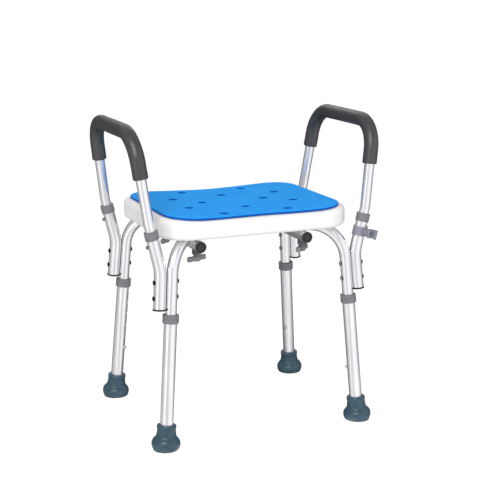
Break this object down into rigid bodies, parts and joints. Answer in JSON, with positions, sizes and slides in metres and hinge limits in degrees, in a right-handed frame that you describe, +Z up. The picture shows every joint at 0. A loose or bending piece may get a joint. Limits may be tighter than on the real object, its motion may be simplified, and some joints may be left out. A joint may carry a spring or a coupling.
{
  "type": "shower stool",
  "caption": "Shower stool with a dished plastic seat and foam pad on crossed bent tube frames, telescopic legs, lift-off arm rests and a clip for a hand shower.",
  "frame": {"origin": "on the floor, under the middle of the seat", "axes": "+Z up, X across the width of the seat with the hand shower clip on the +X side, -Y towards the front"},
  "size_m": [0.53, 0.382, 0.6195],
  "materials": {
    "seat_plastic": "satin white moulding",
    "pad_foam": "closed-cell foam, fine grain",
    "tube_aluminium": "satin anodised",
    "grey_plastic": "moulded, fine texture",
    "black_plastic": "moulded",
    "foot_rubber": "moulded rubber",
    "grip_foam": "foam sleeve",
    "black_steel": "black coated",
    "bright_steel": "zinc plated",
    "spring_steel": "bright",
    "brass": "plain",
    "wing_plastic": "moulded",
    "holder_plastic": "moulded, blue-grey"
  },
  "bodies": {
    "stool_frame": {"seat_shell": "seat_plastic", "seat_pad": "pad_foam", "seat_inserts": "brass", "frame_tube_a": "tube_aluminium", "frame_tube_b": "tube_aluminium", "centre_bolt": "black_steel", "centre_nut": "black_steel", "side_tube_left": "tube_aluminium", "side_tube_right": "tube_aluminium", "side_tube_plugs": "black_plastic", "saddle_washers": "black_plastic", "arm_socket_fl": "tube_aluminium", "arm_socket_fr": "tube_aluminium", "arm_socket_rl": "tube_aluminium", "arm_socket_rr": "tube_aluminium", "socket_collars": "grey_plastic", "socket_caps": "black_plastic", "socket_bolts": "black_steel", "socket_nuts": "bright_steel", "leg_springs": "spring_steel", "holder_clamp": "holder_plastic", "holder_pivot": "bright_steel", "clamp_screw": "bright_steel", "clamp_nut": "bright_steel"},
    "leg_fl": {"lower_leg_fl": "tube_aluminium", "leg_collar_fl": "grey_plastic", "foot_fl": "foot_rubber", "foot_washer_fl": "bright_steel"},
    "leg_fr": {"lower_leg_fr": "tube_aluminium", "leg_collar_fr": "grey_plastic", "foot_fr": "foot_rubber", "foot_washer_fr": "bright_steel"},
    "leg_rl": {"lower_leg_rl": "tube_aluminium", "leg_collar_rl": "grey_plastic", "foot_rl": "foot_rubber", "foot_washer_rl": "bright_steel"},
    "leg_rr": {"lower_leg_rr": "tube_aluminium", "leg_collar_rr": "grey_plastic", "foot_rr": "foot_rubber", "foot_washer_rr": "bright_steel"},
    "leg_snap_fl": {"leg_button_fl": "bright_steel"},
    "leg_snap_fr": {"leg_button_fr": "bright_steel"},
    "leg_snap_rl": {"leg_button_rl": "bright_steel"},
    "leg_snap_rr": {"leg_button_rr": "bright_steel"},
    "arm_left": {"arm_tube_left": "tube_aluminium", "arm_grip_left": "grip_foam", "arm_springs_left": "spring_steel"},
    "arm_snap_fl": {"arm_button_fl": "bright_steel"},
    "arm_snap_rl": {"arm_button_rl": "bright_steel"},
    "arm_right": {"arm_tube_right": "tube_aluminium", "arm_grip_right": "grip_foam", "arm_springs_right": "spring_steel"},
    "arm_snap_fr": {"arm_button_fr": "bright_steel"},
    "arm_snap_rr": {"arm_button_rr": "bright_steel"},
    "wing_fl": {"wing_screw_fl": "wing_plastic"},
    "wing_fr": {"wing_screw_fr": "wing_plastic"},
    "wing_rl": {"wing_screw_rl": "wing_plastic"},
    "wing_rr": {"wing_screw_rr": "wing_plastic"},
    "shower_clip": {"holder_clip": "holder_plastic"}
  },
  "joints": [
    {"name": "leg_fl_slide", "type": "slide", "parent": "stool_frame", "child": "leg_fl", "axis": [-0.0736, -0.0578, -0.9956], "range_m": [0, 0.127], "deforming": ["leg_button_fl"]},
    {"name": "leg_fr_slide", "type": "slide", "parent": "stool_frame", "child": "leg_fr", "axis": [0.0736, -0.0578, -0.9956], "range_m": [0, 0.127], "deforming": ["leg_button_fr"]},
    {"name": "leg_rl_slide", "type": "slide", "parent": "stool_frame", "child": "leg_rl", "axis": [-0.0736, 0.0578, -0.9956], "range_m": [0, 0.127], "deforming": ["leg_button_rl"]},
    {"name": "leg_rr_slide", "type": "slide", "parent": "stool_frame", "child": "leg_rr", "axis": [0.0736, 0.0578, -0.9956], "range_m": [0, 0.127], "deforming": ["leg_button_rr"]},
    {"name": "leg_button_fl_press", "type": "slide", "parent": "stool_frame", "child": "leg_snap_fl", "axis": [-0.7832, -0.6147, 0.0936], "range_m": [0, 0.0056], "stiffness_N_per_m": 1500, "deforming": ["leg_springs"]},
    {"name": "leg_button_fr_press", "type": "slide", "parent": "stool_frame", "child": "leg_snap_fr", "axis": [0.7832, -0.6147, 0.0936], "range_m": [0, 0.0056], "stiffness_N_per_m": 1500, "deforming": ["leg_springs"]},
    {"name": "leg_button_rl_press", "type": "slide", "parent": "stool_frame", "child": "leg_snap_rl", "axis": [-0.7832, 0.6147, 0.0936], "range_m": [0, 0.0056], "stiffness_N_per_m": 1500, "deforming": ["leg_springs"]},
    {"name": "leg_button_rr_press", "type": "slide", "parent": "stool_frame", "child": "leg_snap_rr", "axis": [0.7832, 0.6147, 0.0936], "range_m": [0, 0.0056], "stiffness_N_per_m": 1500, "deforming": ["leg_springs"]},
    {"name": "arm_left_lift", "type": "slide", "parent": "stool_frame", "child": "arm_left", "axis": [-0.2334, 0, 0.9724], "range_m": [0, 0.1], "deforming": ["arm_button_fl", "arm_button_rl"]},
    {"name": "arm_button_fl_press", "type": "slide", "parent": "arm_left", "child": "arm_snap_fl", "axis": [0.9724, 0, 0.2334], "range_m": [0, 0.0068], "stiffness_N_per_m": 1500, "deforming": ["arm_springs_left"]},
    {"name": "arm_button_rl_press", "type": "slide", "parent": "arm_left", "child": "arm_snap_rl", "axis": [0.9724, 0, 0.2334], "range_m": [0, 0.0068], "stiffness_N_per_m": 1500, "deforming": ["arm_springs_left"]},
    {"name": "arm_right_lift", "type": "slide", "parent": "stool_frame", "child": "arm_right", "axis": [0.2334, 0, 0.9724], "range_m": [0, 0.1], "deforming": ["arm_button_fr", "arm_button_rr"]},
    {"name": "arm_button_fr_press", "type": "slide", "parent": "arm_right", "child": "arm_snap_fr", "axis": [-0.9724, 0, 0.2334], "range_m": [0, 0.0068], "stiffness_N_per_m": 1500, "deforming": ["arm_springs_right"]},
    {"name": "arm_button_rr_press", "type": "slide", "parent": "arm_right", "child": "arm_snap_rr", "axis": [-0.9724, 0, 0.2334], "range_m": [0, 0.0068], "stiffness_N_per_m": 1500, "deforming": ["arm_springs_right"]},
    {"name": "wing_screw_fl_turn", "type": "hinge", "parent": "stool_frame", "child": "wing_fl", "pos_m": [-0.1136, -0.08917, 0.3515], "axis": [0, 0, 1], "continuous": true},
    {"name": "wing_screw_fr_turn", "type": "hinge", "parent": "stool_frame", "child": "wing_fr", "pos_m": [0.1136, -0.08917, 0.3515], "axis": [0, 0, 1], "continuous": true},
    {"name": "wing_screw_rl_turn", "type": "hinge", "parent": "stool_frame", "child": "wing_rl", "pos_m": [-0.1136, 0.08917, 0.3515], "axis": [0, 0, 1], "continuous": true},
    {"name": "wing_screw_rr_turn", "type": "hinge", "parent": "stool_frame", "child": "wing_rr", "pos_m": [0.1136, 0.08917, 0.3515], "axis": [0, 0, 1], "continuous": true},
    {"name": "shower_clip_swivel", "type": "hinge", "parent": "stool_frame", "child": "shower_clip", "pos_m": [0.21605, -0.1415, 0.38884], "axis": [0.4862, -0.866, -0.1167], "range_deg": [-40, 40]}
  ]
}
